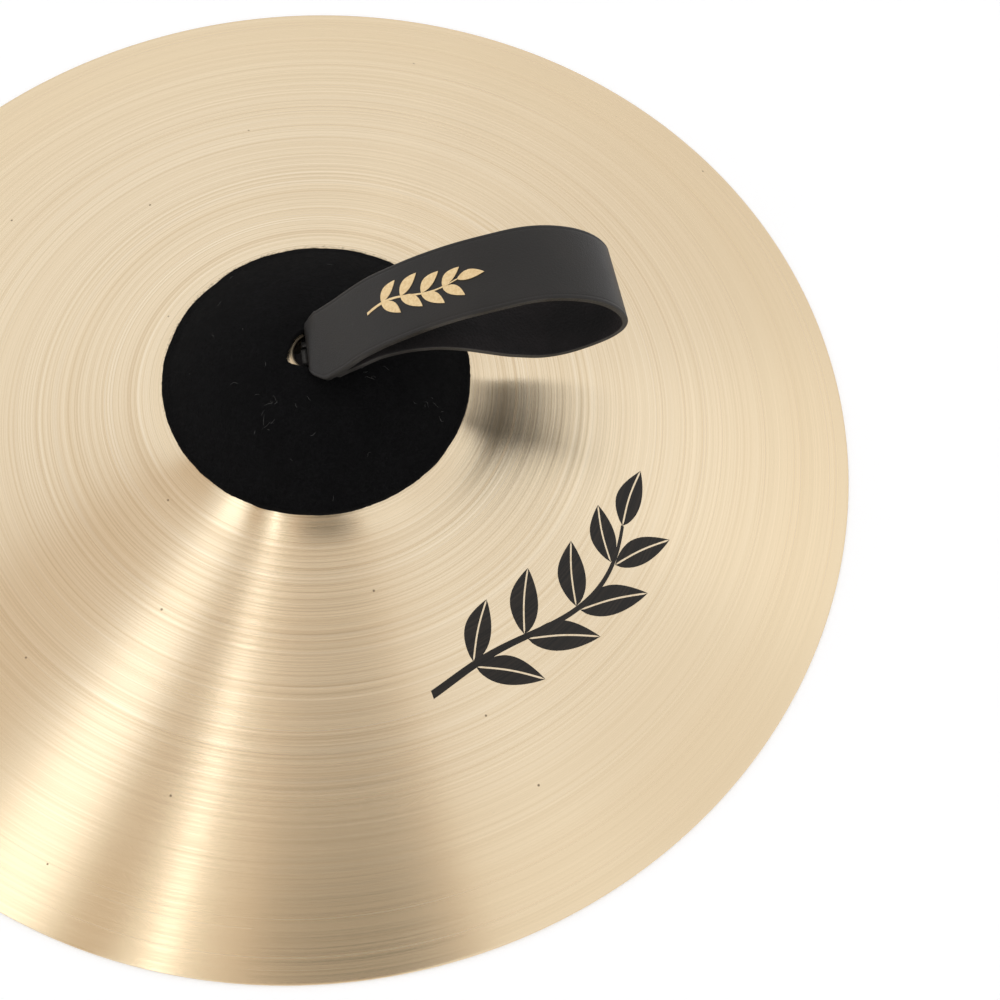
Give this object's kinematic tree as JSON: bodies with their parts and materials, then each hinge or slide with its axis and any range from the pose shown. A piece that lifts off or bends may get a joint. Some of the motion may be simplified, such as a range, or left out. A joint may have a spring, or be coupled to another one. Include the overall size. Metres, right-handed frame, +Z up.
{
  "type": "hand cymbal",
  "caption": "Domed bronze hand cymbal with a felt pad over its bell and a leather hand strap that tilts and turns, tied under the bell in a crown knot.",
  "frame": {"origin": "the middle of the plane that the plate's rim lies on", "axes": "+Z up through the middle of the bell, +X the way the strap leans at rest"},
  "size_m": [0.4572, 0.4572, 0.1028],
  "materials": {
    "bronze": "lathed",
    "felt": "felt",
    "leather": "satin"
  },
  "bodies": {
    "cymbal": {"cymbal_plate": "bronze"},
    "pad": {"felt_pad": "felt"},
    "knot": {"strap_tail_upper_end_left": "leather", "strap_tail_upper_end_right": "leather", "strap_tail_lower_end_left": "leather", "strap_tail_lower_end_right": "leather"},
    "strap": {"strap_hand_loop": "leather"}
  },
  "joints": [
    {"name": "pad_turn", "type": "hinge", "parent": "cymbal", "child": "pad", "pos_m": [0, 0, 0.05], "axis": [0, 0, 1], "continuous": true},
    {"name": "knot_turn", "type": "hinge", "parent": "cymbal", "child": "knot", "pos_m": [0, 0, 0.05], "axis": [0, 0, 1], "continuous": true},
    {"name": "strap_tilt", "type": "hinge", "parent": "knot", "child": "strap", "pos_m": [0, 0, 0.0537], "axis": [0, -1, 0], "range_deg": [-10, 100]}
  ]
}
